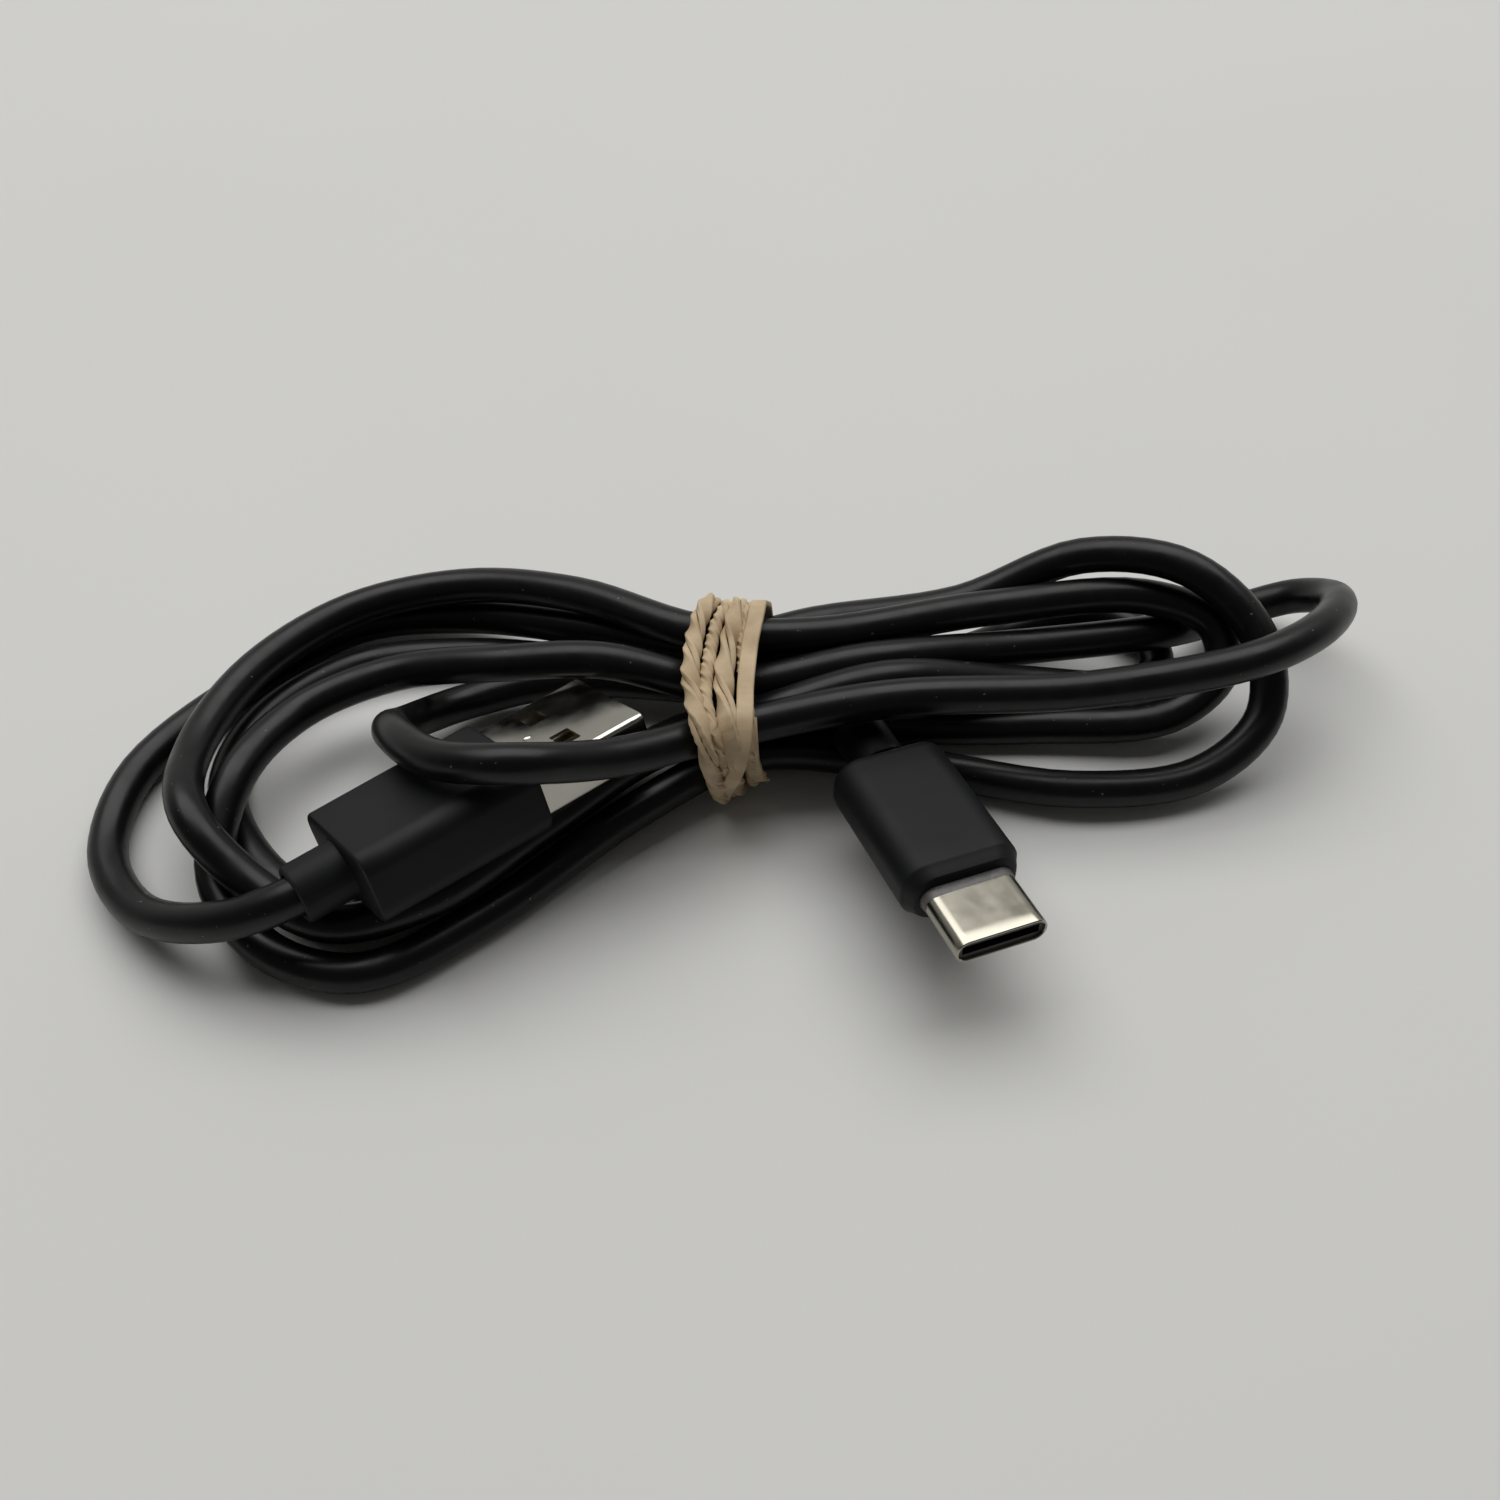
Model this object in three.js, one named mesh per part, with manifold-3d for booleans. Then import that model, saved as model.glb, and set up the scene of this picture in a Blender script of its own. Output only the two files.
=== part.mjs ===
// Charging cable: a USB-A plug and a USB-C plug on one long limp lead, wound into a flat
// figure-of-loops hank and held at the waist by a doubled rubber band.
// Millimetres, +Z up. The origin is on the table, under the middle of the whole object.
import * as THREE from "three";
import { mergeVertices } from "three/addons/utils/BufferGeometryUtils.js";
import Module from "manifold-3d";

const wasm = await Module();
wasm.setup();

// ---- driving dimensions ----

const cordDiameter = 3.5;
const cordSides = 8;
const wireDiameter = 0.8;
const wireSpread = 0.62; // distance of each wire from the cable axis, along Y and along Z
const fit = 0.06; // clearance between pieces that are pressed or moulded together
const faceGap = 0.3; // gap between two pieces that meet end to end
const boreClearance = 0.3; // between the jacket and a strain relief, on each side

// Each plug has its own frame: +X out of the tip, +Z out of its upper broad side, origin at the
// middle of the tip face. It is placed by the mouth of its strain relief, where the cord comes out.
const usbA = {
  mouth: [-37.21, -17.69, 9.42],
  axis: [0.778, 0.629, -0.02],
  up: [-0.228, 0.312, 0.922],
  shellWidth: 12,
  shellHeight: 4.5,
  shellWall: 0.3,
  shellCorner: 0.6,
  exposed: 11.2, // shell length in front of the overmould
  shellLength: 17.6,
  windowWidth: 2.5,
  windowLength: 1.95,
  windowOffset: 2.93,
  windowSetback: 6.35,
  tongueHeight: 1.9,
  tongueLength: 17,
  contactWidth: 1,
  contactThickness: 0.25,
  contactPlaces: [-3.5, -1, 1, 3.5],
  contactSetbacks: [1.2, 2.2, 2.2, 1.2],
  contactEnd: 19.5,
  mouldLength: 16.4,
  mouldWidth: 13.2,
  mouldHeight: 7,
  mouldCorner: 1.9,
  mouldBevel: 0.8,
  mouldTaper: 0.035, // the rear is narrower than the middle by this share, the front wider
  innerWidth: 10.2,
  innerHeight: 4.9,
  innerLength: 6.4,
  reliefLength: 4.6,
  reliefDiameter: 5.3,
  crimpLength: 2,
  crimpDiameter: 4.4,
};

const usbC = {
  mouth: [10.11, 2.99, 6.27],
  axis: [0.366, -0.92, 0.141],
  up: [-0.005, 0.15, 0.989],
  shellWidth: 8.25,
  shellHeight: 2.4,
  shellWall: 0.18,
  exposed: 6.2,
  shellLength: 10.6,
  slotWidth: 6.9,
  slotHeight: 0.9,
  slotDepth: 5.2,
  housingSetback: 0.25,
  contactWidth: 0.25,
  contactThickness: 0.15,
  upperPlaces: [-2.75, -1.25, -0.75, -0.25, 0.25, 1.25, 2.75],
  lowerPlaces: [-2.75, -1.25, 0.75, 1.25, 2.75],
  contactSetback: 1.6,
  contactEnd: 12.4,
  latchLength: 8.6,
  latchThickness: 0.18,
  latchHeight: 0.7,
  boardWidth: 6.6,
  boardThickness: 0.78,
  boardLength: 6,
  sleeveWidth: 9,
  sleeveHeight: 3.7,
  sleeveWall: 0.2,
  sleeveLength: 6.9,
  innerLength: 1.9,
  mouldLength: 15.6,
  mouldWidth: 10.8,
  mouldHeight: 5.8,
  mouldCorner: 2.5,
  mouldBevel: 0.6,
  reliefLength: 6,
  reliefDiameter: 5,
  crimpLength: 2,
  crimpDiameter: 4.3,
};

const band = {
  x: -1.7, // middle of the band along the hank
  width: 8.2,
  thickness: 0.7,
  travel: 0.6, // it can be pushed this far either way along the waist
  clearance: 0.3,
};

// The centre line of the cord, from the mouth of the USB-A plug to just before the USB-C plug.
// prettier-ignore
const route = [
  [-37.2, -17.7, 9.4], [-43.6, -18.6, 7.1], [-52.4, -15.1, 3.3], [-57.6, -7.8, 2],
  [-57.2, 1.7, 2], [-49.3, 12.8, 1.8], [-39.8, 20.6, 2], [-28.9, 21.6, 2.5],
  [-15.4, 16.9, 5.4], [-4.2, 12.6, 7.1], [6.4, 15, 8], [21.1, 19.7, 6.4],
  [32.5, 20.9, 11.5], [42, 17.4, 13.1], [48.1, 11.5, 10], [48.4, 5.3, 5.7],
  [42.3, 0.7, 2.7], [30.2, -1, 2.5], [13.1, 2.9, 1.9], [0.3, 2.5, 3.4],
  [-10.1, -3.7, 2.9], [-23.2, -14.8, 1.9], [-32.7, -20.4, 2], [-41.2, -18.1, 1.9],
  [-46.6, -11.6, 3.4], [-46.1, -2.9, 6.4], [-41.9, 5.6, 6], [-33.5, 9.5, 7],
  [-22.5, 7.9, 10.1], [-13.4, 7.4, 11], [-2, 6.7, 8.4], [11.2, 9, 9.3],
  [27.2, 14, 6], [41.9, 17, 5.3], [50, 22.4, 2.5], [55.4, 22.4, 4.6],
  [57.5, 18.3, 8.2], [53.4, 10.8, 11.9], [45.5, 5.5, 13], [30.5, 3.5, 11.2],
  [12.6, 1.9, 11.8], [-1.4, -0.9, 11], [-11.3, -6.4, 13.6], [-19, -10.1, 17.3],
  [-25.9, -8.1, 15.4], [-31.1, -1.9, 11.7], [-31.8, 4.4, 5.6], [-27.1, 9.8, 2.7],
  [-18, 11.9, 3.4], [-3.6, 10.3, 4.2], [7.9, 11, 2.1], [22.5, 17.4, 2],
  [34.7, 22.4, 2], [40.3, 19.1, 2], [40.6, 14.7, 1.9], [36.4, 11.1, 3.2],
  [25.4, 9.4, 5.7], [12.7, 5.7, 10.3], [2.1, 3.3, 8.6], [-9.1, 0.5, 5.8],
  [-18.1, -6.5, 4.5], [-27.1, -14.8, 5], [-35.4, -16.8, 4], [-42.7, -13.6, 5.7],
  [-48.3, -8.5, 8.6], [-50.4, 0.5, 6.7], [-47.3, 11.1, 5.9], [-39.4, 19.3, 5.7],
  [-28.6, 22.1, 6.3], [-16.7, 18.2, 8.9], [-4.4, 11.4, 10.6], [6.3, 11.8, 9.8],
  [23.1, 16.3, 8.9], [38.4, 17.6, 9.2], [45, 15.1, 8], [45.7, 11.5, 5.4],
  [40.4, 7.5, 3.2], [26.7, 7.1, 2.1], [9.1, 7, 2.3], [-4.8, 5.5, 3.8],
  [-16, -1.4, 1.9], [-27.8, -12.1, 2], [-35.7, -13.9, 1.9], [-43, -9.8, 1.9],
  [-48.6, -0.2, 1.8], [-46.9, 8.1, 1.8], [-39.1, 14.9, 2], [-27.8, 16.8, 1.8],
  [-13.2, 14.8, 2.5], [1, 13.9, 3.5], [7.4, 12.5, 5.3],
];

// ---- geometry helpers ----

const crossToX = new THREE.Matrix4().makeBasis(
  new THREE.Vector3(0, 1, 0),
  new THREE.Vector3(0, 0, 1),
  new THREE.Vector3(1, 0, 0),
);

// A box given by its lowest and highest corners.
function block(low, high) {
  const size = high.map((v, i) => v - low[i]);
  const geometry = new THREE.BoxGeometry(...size);
  return geometry.translate(...high.map((v, i) => (v + low[i]) / 2));
}

// A rounded rectangle in the plane across a plug: width along Y, height along Z.
function roundedOutline(width, height, radius, Type = THREE.Shape) {
  const w = width / 2 - radius;
  const h = height / 2 - radius;
  const outline = new Type();
  outline.absarc(w, h, radius, 0, Math.PI / 2);
  outline.absarc(-w, h, radius, Math.PI / 2, Math.PI);
  outline.absarc(-w, -h, radius, Math.PI, Math.PI * 1.5);
  outline.absarc(w, -h, radius, Math.PI * 1.5, Math.PI * 2);
  outline.closePath();
  return outline;
}

// Extrudes an outline of the YZ plane from x = rear to x = front, with rounded ends if asked.
function alongX(outline, rear, front, bevel = 0, curveSegments = 4) {
  const geometry = new THREE.ExtrudeGeometry(outline, {
    depth: front - rear - 2 * bevel,
    curveSegments,
    bevelEnabled: bevel > 0,
    bevelThickness: bevel,
    bevelSize: bevel,
    bevelOffset: -bevel,
    bevelSegments: 3,
  });
  return geometry.applyMatrix4(crossToX).translate(rear + bevel, 0, 0);
}

function rodAlongX(diameter, rear, front, segments = 20) {
  const rod = new THREE.CylinderGeometry(diameter / 2, diameter / 2, front - rear, segments);
  return rod.rotateZ(-Math.PI / 2).translate((front + rear) / 2, 0, 0);
}

function toSolid(geometry) {
  const bare = geometry.clone();
  bare.deleteAttribute("normal");
  bare.deleteAttribute("uv");
  const merged = mergeVertices(bare, 1e-4);
  return new wasm.Manifold(
    new wasm.Mesh({
      numProp: 3,
      vertProperties: merged.attributes.position.array,
      triVerts: new Uint32Array(merged.index.array),
    }),
  );
}

function toGeometry(solid) {
  const mesh = solid.getMesh();
  const geometry = new THREE.BufferGeometry();
  geometry.setAttribute("position", new THREE.BufferAttribute(mesh.vertProperties, 3));
  geometry.setIndex(new THREE.BufferAttribute(mesh.triVerts, 1));
  geometry.computeVertexNormals();
  return geometry;
}

// Joins the first list of geometries and cuts the second from it.
function carve(bodies, cuts) {
  let solid = bodies.map(toSolid).reduce((a, b) => a.add(b));
  for (const cut of cuts) solid = solid.subtract(toSolid(cut));
  return toGeometry(solid);
}

function regularOutline(radius, sides) {
  const corners = [];
  for (let i = 0; i < sides; i++) {
    const turn = (i / sides) * Math.PI * 2;
    corners.push(new THREE.Vector2(Math.cos(turn) * radius, Math.sin(turn) * radius));
  }
  return new THREE.Shape(corners);
}

// A solid tube along a smooth curve, with one step for each gap between two points.
function tubeThrough(points, diameter, sides, stepsPerGap = 1) {
  const curve = new THREE.CatmullRomCurve3(points.map((p) => new THREE.Vector3(...p)));
  curve.getUtoTmapping = (u) => u;
  return new THREE.ExtrudeGeometry(regularOutline(diameter / 2, sides), {
    steps: (points.length - 1) * stepsPerGap,
    extrudePath: curve,
    bevelEnabled: false,
  });
}

// ---- materials ----

function finish(color, roughness, metalness = 0) {
  return new THREE.MeshStandardMaterial({ color, roughness, metalness });
}

const blackJacket = finish(0x111113, 0.38);
const blackMoulding = finish(0x17181a, 0.6);
const nickel = finish(0xc9c6bf, 0.24, 1);
const gold = finish(0xd6ac52, 0.3, 1);
const whitePlastic = finish(0xd9d7d0, 0.5);
const darkPlastic = finish(0x1b1c1e, 0.5);
const clearPlastic = finish(0xcfcdc2, 0.6);
const boardGreen = finish(0x1f5a34, 0.5);
const tanRubber = finish(0xc9b18c, 0.75);
const wireColours = {
  red: finish(0xb3202a, 0.45),
  white: finish(0xe4e2dc, 0.45),
  green: finish(0x1f7a3c, 0.45),
  black: finish(0x1a1a1c, 0.45),
};

function piece(name, geometry, material) {
  const mesh = new THREE.Mesh(geometry, material);
  mesh.name = name;
  return mesh;
}

// A group turned so that its +X lies on the plug's axis and its +Z on the plug's upper side.
function plugFrame(plug) {
  const x = new THREE.Vector3(...plug.axis).normalize();
  const y = new THREE.Vector3(...plug.up).cross(x).normalize();
  const z = x.clone().cross(y);
  const group = new THREE.Group();
  group.quaternion.setFromRotationMatrix(new THREE.Matrix4().makeBasis(x, y, z));
  group.position.set(...plug.mouth).addScaledVector(x, plugLength(plug));
  return group;
}

function plugLength(plug) {
  return plug.exposed + plug.mouldLength + plug.reliefLength;
}

// A point on a plug's own axis, x from its tip, as a point of the whole object.
function onPlugAxis(plug, x) {
  const axis = new THREE.Vector3(...plug.axis).normalize();
  const point = new THREE.Vector3(...plug.mouth).addScaledVector(axis, plugLength(plug) + x);
  return point.toArray();
}

// ---- pieces that both plugs have ----

const wirePlaces = {
  red: [1, 1],
  white: [1, -1],
  green: [-1, -1],
  black: [-1, 1],
};

// The points of one wire: straight off its solder pad, then in to its place in the cable.
function wirePoints(colour, padY, padX, cableX) {
  const [y, z] = wirePlaces[colour].map((side) => side * wireSpread);
  const span = padX - cableX;
  return [
    [padX, padY, 0],
    [padX - span * 0.2, padY, 0],
    [padX - span * 0.78, y, z],
    [cableX, y, z],
  ];
}

function wires(prefix, pads, padX, cableX) {
  return Object.entries(pads).map(([colour, y]) => {
    const tube = tubeThrough(wirePoints(colour, y, padX, cableX), wireDiameter, 8, 3);
    return piece(prefix + "_wire_" + colour, tube, wireColours[colour]);
  });
}

function wireBores(pads, padX, cableX) {
  return Object.entries(pads).map(([colour, y]) => {
    return tubeThrough(wirePoints(colour, y, padX, cableX), wireDiameter + 4 * fit, 8, 3);
  });
}

function crimp(name, plug, rear) {
  const ring = carve(
    [rodAlongX(plug.crimpDiameter, rear, rear + plug.crimpLength)],
    [rodAlongX(cordDiameter + 3 * fit, rear - 1, rear + plug.crimpLength + 1)],
  );
  return piece(name, ring, nickel);
}

// ---- USB-A plug ----

const padsA = { red: 3.5, white: 1, green: -1, black: -3.5 };
const innerFrontA = -usbA.shellLength - faceGap;
const innerRearA = innerFrontA - usbA.innerLength;
const mouldRearA = -usbA.exposed - usbA.mouldLength;
const mouthA = mouldRearA - usbA.reliefLength;
const cableStartA = innerRearA - 0.9;
const wireStartA = -usbA.contactEnd - faceGap;
const tongueTopA = -usbA.shellHeight / 2 + usbA.shellWall + fit + usbA.tongueHeight;

function usbAShell() {
  const { shellWidth: w, shellHeight: h, shellWall: wall, shellCorner: r } = usbA;
  const tube = roundedOutline(w, h, r);
  tube.holes.push(roundedOutline(w - 2 * wall, h - 2 * wall, r - wall, THREE.Path));
  const windows = [-usbA.windowOffset, usbA.windowOffset].map((y) =>
    block(
      [-usbA.windowSetback - usbA.windowLength / 2, y - usbA.windowWidth / 2, -h],
      [-usbA.windowSetback + usbA.windowLength / 2, y + usbA.windowWidth / 2, h],
    ),
  );
  return piece("usb_a_shell", carve([alongX(tube, -usbA.shellLength, 0)], windows), nickel);
}

function usbAContactBox(index, grow) {
  const half = usbA.contactWidth / 2 + grow;
  const y = usbA.contactPlaces[index];
  return block(
    [-usbA.contactEnd - grow, y - half, tongueTopA - usbA.contactThickness - grow],
    [-usbA.contactSetbacks[index] + grow, y + half, tongueTopA + (grow > 0 ? 1 : 0)],
  );
}

function usbATongue() {
  const inner = usbA.shellWidth / 2 - usbA.shellWall - fit;
  const low = -usbA.shellHeight / 2 + usbA.shellWall + fit;
  const body = block([-usbA.tongueLength, -inner, low], [-0.4, inner, tongueTopA]);
  const corner = usbA.shellCorner;
  const edges = [-1, 1].map((side) =>
    block(
      [-usbA.tongueLength - 1, side * inner - corner / 2, low - corner / 2],
      [0, side * inner + corner / 2, low + corner / 2],
    ),
  );
  const grooves = usbA.contactPlaces.map((_, i) => usbAContactBox(i, fit));
  return piece("usb_a_tongue", carve([body], [...edges, ...grooves]), whitePlastic);
}

function usbAContacts() {
  const names = ["ground", "data_plus", "data_minus", "power"];
  return names.map((name, i) => piece("usb_a_contact_" + name, usbAContactBox(i, 0), gold));
}

function usbAInnerMould() {
  const body = alongX(
    roundedOutline(usbA.innerWidth, usbA.innerHeight, 0.8),
    innerRearA,
    innerFrontA,
  );
  const tails = usbA.contactPlaces.map((_, i) => {
    const half = usbA.contactWidth / 2 + 2 * fit;
    const y = usbA.contactPlaces[i];
    return block(
      [wireStartA - fit, y - half, tongueTopA - 0.6],
      [innerFrontA + 1, y + half, tongueTopA + 0.6],
    );
  });
  const bores = wireBores(padsA, wireStartA, cableStartA + 0.2);
  return piece("usb_a_inner_mould", carve([body], [...tails, ...bores]), clearPlastic);
}

function usbAOvermould() {
  const { mouldWidth: w, mouldHeight: h, mouldCorner: r, mouldBevel: bevel } = usbA;
  const body = alongX(roundedOutline(w, h, r), mouldRearA, -usbA.exposed, bevel, 6);
  const position = body.getAttribute("position");
  const middle = (mouldRearA - usbA.exposed) / 2;
  for (let i = 0; i < position.count; i++) {
    const along = (position.getX(i) - middle) / (usbA.mouldLength / 2);
    position.setY(i, position.getY(i) * (1 + usbA.mouldTaper * along));
  }
  const relief = rodAlongX(usbA.reliefDiameter, mouthA, mouldRearA + 1, 24);
  const shellPocket = alongX(
    roundedOutline(usbA.shellWidth + 2 * fit, usbA.shellHeight + 2 * fit, usbA.shellCorner + fit),
    innerFrontA - fit,
    0,
  );
  const innerPocket = alongX(
    roundedOutline(usbA.innerWidth + 2 * fit, usbA.innerHeight + 2 * fit, 0.8),
    innerRearA - fit,
    innerFrontA + fit,
  );
  const crimpRear = cableStartA - usbA.crimpLength + 0.2;
  const crimpPocket = rodAlongX(usbA.crimpDiameter + 2 * fit, crimpRear - fit, innerRearA);
  const bore = rodAlongX(cordDiameter + 2 * boreClearance, mouthA - 1, innerRearA);
  const geometry = carve([body, relief], [shellPocket, innerPocket, crimpPocket, bore]);
  return piece("usb_a_overmould", geometry, blackMoulding);
}

function usbAPlug() {
  const group = plugFrame(usbA);
  group.add(usbAShell());
  group.add(usbATongue());
  group.add(...usbAContacts());
  group.add(usbAInnerMould());
  group.add(...wires("usb_a", padsA, wireStartA, cableStartA + 0.2));
  group.add(crimp("usb_a_crimp", usbA, cableStartA - usbA.crimpLength + 0.2));
  group.add(usbAOvermould());
  return group;
}

// ---- USB-C plug ----

const padsC = { red: 2.4, white: 0.9, green: -0.9, black: -2.4 };
const boardFrontC = -usbC.shellLength - faceGap;
const boardRearC = boardFrontC - usbC.boardLength;
const sleeveRearC = boardFrontC - usbC.sleeveLength;
const innerFrontC = sleeveRearC - fit;
const innerRearC = innerFrontC - usbC.innerLength;
const mouldRearC = -usbC.exposed - usbC.mouldLength;
const mouthC = mouldRearC - usbC.reliefLength;
const cableStartC = innerRearC - 0.9;
const wireStartC = boardRearC - faceGap;

function stadium(width, height, Type = THREE.Shape) {
  return roundedOutline(width, height, height / 2 - 0.001, Type);
}

function usbCShell() {
  const { shellWidth: w, shellHeight: h, shellWall: wall } = usbC;
  const tube = stadium(w, h);
  tube.holes.push(stadium(w - 2 * wall, h - 2 * wall, THREE.Path));
  return piece("usb_c_shell", alongX(tube, -usbC.shellLength, 0, 0, 6), nickel);
}

// One contact lies in the slot's wall, on the upper side (1) or the lower side (-1).
function usbCContactBox(y, side, grow) {
  const half = usbC.contactWidth / 2 + grow;
  const near = usbC.slotHeight / 2 - (grow > 0 ? 0.1 : 0);
  const far = usbC.slotHeight / 2 + usbC.contactThickness + grow;
  const heights = [side * near, side * far].sort((a, b) => a - b);
  return block(
    [-usbC.contactEnd - grow, y - half, heights[0]],
    [-usbC.contactSetback + grow, y + half, heights[1]],
  );
}

// A side latch: a flat spring arm with a hook that reaches into the slot near its front.
function usbCLatchOutline(side, grow) {
  const front = -usbC.contactSetback + 0.4;
  const rear = front - usbC.latchLength;
  const inner = usbC.slotWidth / 2 + fit;
  const outer = inner + usbC.latchThickness;
  const hook = inner - 0.25;
  const points = [
    [rear - grow, inner - grow],
    [front - 1.4, inner - grow],
    [front - 0.9, hook - grow],
    [front - 0.5, hook - grow],
    [front + grow, inner - grow],
    [front + grow, outer + grow],
    [rear - grow, outer + grow],
  ];
  return new THREE.Shape(points.map(([x, y]) => new THREE.Vector2(x, side * y)));
}

function usbCLatchSolid(side, grow) {
  const depth = usbC.latchHeight + 2 * grow;
  const geometry = new THREE.ExtrudeGeometry(usbCLatchOutline(side, grow), {
    depth,
    bevelEnabled: false,
  });
  return geometry.translate(0, 0, -depth / 2);
}

function usbCHousing() {
  const wall = usbC.shellWall + fit;
  const width = usbC.shellWidth - 2 * wall;
  const height = usbC.shellHeight - 2 * wall;
  const body = alongX(
    stadium(width, height),
    -usbC.shellLength + 0.2,
    -usbC.housingSetback,
    0,
    6,
  );
  const slot = block(
    [-usbC.slotDepth, -usbC.slotWidth / 2, -usbC.slotHeight / 2],
    [1, usbC.slotWidth / 2, usbC.slotHeight / 2],
  );
  const grooves = [
    ...usbC.upperPlaces.map((y) => usbCContactBox(y, 1, fit)),
    ...usbC.lowerPlaces.map((y) => usbCContactBox(y, -1, fit)),
  ];
  const channels = [usbCLatchSolid(1, fit), usbCLatchSolid(-1, fit)];
  return piece("usb_c_housing", carve([body], [slot, ...grooves, ...channels]), darkPlastic);
}

function usbCContacts() {
  const upper = usbC.upperPlaces.map((y, i) =>
    piece("usb_c_contact_upper_" + (i + 1), usbCContactBox(y, 1, 0), gold),
  );
  const lower = usbC.lowerPlaces.map((y, i) =>
    piece("usb_c_contact_lower_" + (i + 1), usbCContactBox(y, -1, 0), gold),
  );
  return [...upper, ...lower];
}

function usbCBoard() {
  const half = usbC.boardThickness / 2;
  const w = usbC.boardWidth / 2;
  return piece("usb_c_board", block([boardRearC, -w, -half], [boardFrontC, w, half]), boardGreen);
}

function usbCResistor() {
  const low = usbC.boardThickness / 2 + fit;
  const x = boardRearC + 1.8;
  return piece("usb_c_resistor", block([x, -0.5, low], [x + 0.5, 0.5, low + 0.35]), darkPlastic);
}

function usbCSleeve() {
  const { sleeveWidth: w, sleeveHeight: h, sleeveWall: wall } = usbC;
  const tube = roundedOutline(w, h, 0.9);
  tube.holes.push(roundedOutline(w - 2 * wall, h - 2 * wall, 0.7, THREE.Path));
  return piece("usb_c_rear_sleeve", alongX(tube, sleeveRearC, boardFrontC), nickel);
}

function usbCInnerMould() {
  const body = alongX(roundedOutline(usbC.sleeveWidth, usbC.sleeveHeight, 0.9), innerRearC, innerFrontC);
  const bores = wireBores(padsC, wireStartC, cableStartC + 0.2);
  return piece("usb_c_inner_mould", carve([body], bores), clearPlastic);
}

function usbCOvermould() {
  const { mouldWidth: w, mouldHeight: h, mouldCorner: r, mouldBevel: bevel } = usbC;
  const body = alongX(roundedOutline(w, h, r), mouldRearC, -usbC.exposed, bevel, 6);
  const relief = rodAlongX(usbC.reliefDiameter, mouthC, mouldRearC + 1, 24);
  const shellPocket = alongX(
    stadium(usbC.shellWidth + 2 * fit, usbC.shellHeight + 2 * fit),
    boardFrontC - fit,
    0,
    0,
    6,
  );
  const sleevePocket = alongX(
    roundedOutline(usbC.sleeveWidth + 2 * fit, usbC.sleeveHeight + 2 * fit, 0.9),
    innerRearC - fit,
    boardFrontC + fit,
  );
  const crimpRear = cableStartC - usbC.crimpLength + 0.2;
  const crimpPocket = rodAlongX(usbC.crimpDiameter + 2 * fit, crimpRear - fit, innerRearC);
  const bore = rodAlongX(cordDiameter + 2 * fit, mouthC - 1, innerRearC);
  const geometry = carve([body, relief], [shellPocket, sleevePocket, crimpPocket, bore]);
  return piece("usb_c_overmould", geometry, blackMoulding);
}

// The last of the cable, inside the strain relief, turns with the plug when it flexes.
function usbCCableTail() {
  return piece("usb_c_cable_tail", rodAlongX(cordDiameter, mouthC, cableStartC, 16), blackJacket);
}

function usbCPlug() {
  const group = plugFrame(usbC);
  group.add(usbCShell());
  group.add(usbCHousing());
  group.add(...usbCContacts());
  group.add(piece("usb_c_latch_left", usbCLatchSolid(-1, 0), nickel));
  group.add(piece("usb_c_latch_right", usbCLatchSolid(1, 0), nickel));
  group.add(usbCBoard());
  group.add(usbCResistor());
  group.add(usbCSleeve());
  group.add(usbCInnerMould());
  group.add(...wires("usb_c", padsC, wireStartC, cableStartC + 0.2));
  group.add(crimp("usb_c_crimp", usbC, cableStartC - usbC.crimpLength + 0.2));
  group.add(usbCCableTail());
  group.add(usbCOvermould());
  return group;
}

// ---- cord and band ----

// The whole centre line: it starts at the crimp inside the USB-A plug and ends face to face
// with the cable tail inside the USB-C plug.
const centreLine = [
  onPlugAxis(usbA, cableStartA),
  onPlugAxis(usbA, (cableStartA + mouthA) / 2),
  ...route,
  onPlugAxis(usbC, mouthC - faceGap),
];

function cableJacket() {
  return piece("cable_jacket", tubeThrough(centreLine, cordDiameter, cordSides), blackJacket);
}

// The convex outline, in YZ, of a set of points.
function hullOf(points) {
  const sorted = [...points].sort((a, b) => a.x - b.x || a.y - b.y);
  const turn = (o, a, b) => (a.x - o.x) * (b.y - o.y) - (a.y - o.y) * (b.x - o.x);
  const chain = (list) => {
    const kept = [];
    for (const p of list) {
      while (kept.length > 1 && turn(kept.at(-2), kept.at(-1), p) <= 1e-6) kept.pop();
      kept.push(p);
    }
    kept.pop();
    return kept;
  };
  return [...chain(sorted), ...chain(sorted.reverse())];
}

// The outline that stays a given distance outside every strand at the waist.
function waistOutline(distance) {
  const curve = new THREE.CatmullRomCurve3(centreLine.map((p) => new THREE.Vector3(...p)));
  const reach = band.width / 2 + band.travel + 0.9;
  const corners = [];
  const samples = centreLine.length * 12;
  for (let i = 0; i <= samples; i++) {
    const p = curve.getPoint(i / samples);
    if (Math.abs(p.x - band.x) > reach) continue;
    for (let k = 0; k < 20; k++) {
      const turn = (k / 20) * Math.PI * 2;
      const r = cordDiameter / 2 + distance;
      corners.push(new THREE.Vector2(p.y + r * Math.cos(turn), p.z + r * Math.sin(turn)));
    }
  }
  return hullOf(corners);
}

function rubberBand() {
  const outline = new THREE.Shape(waistOutline(band.clearance + band.thickness));
  outline.holes.push(new THREE.Path(waistOutline(band.clearance)));
  const rear = band.x - band.width / 2;
  return piece("rubber_band", alongX(outline, rear, rear + band.width), tanRubber);
}

const cable = new THREE.Group();
cable.name = "charging_cable";
cable.add(cableJacket());
cable.add(usbAPlug());
cable.add(usbCPlug());
cable.add(rubberBand());

export default cable;
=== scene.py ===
# A charging cable wound into a hank: the fine surfaces that go over the frame's plain solids.
import math
import random

import bmesh
import bpy
from mathutils import Matrix, Vector


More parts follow.
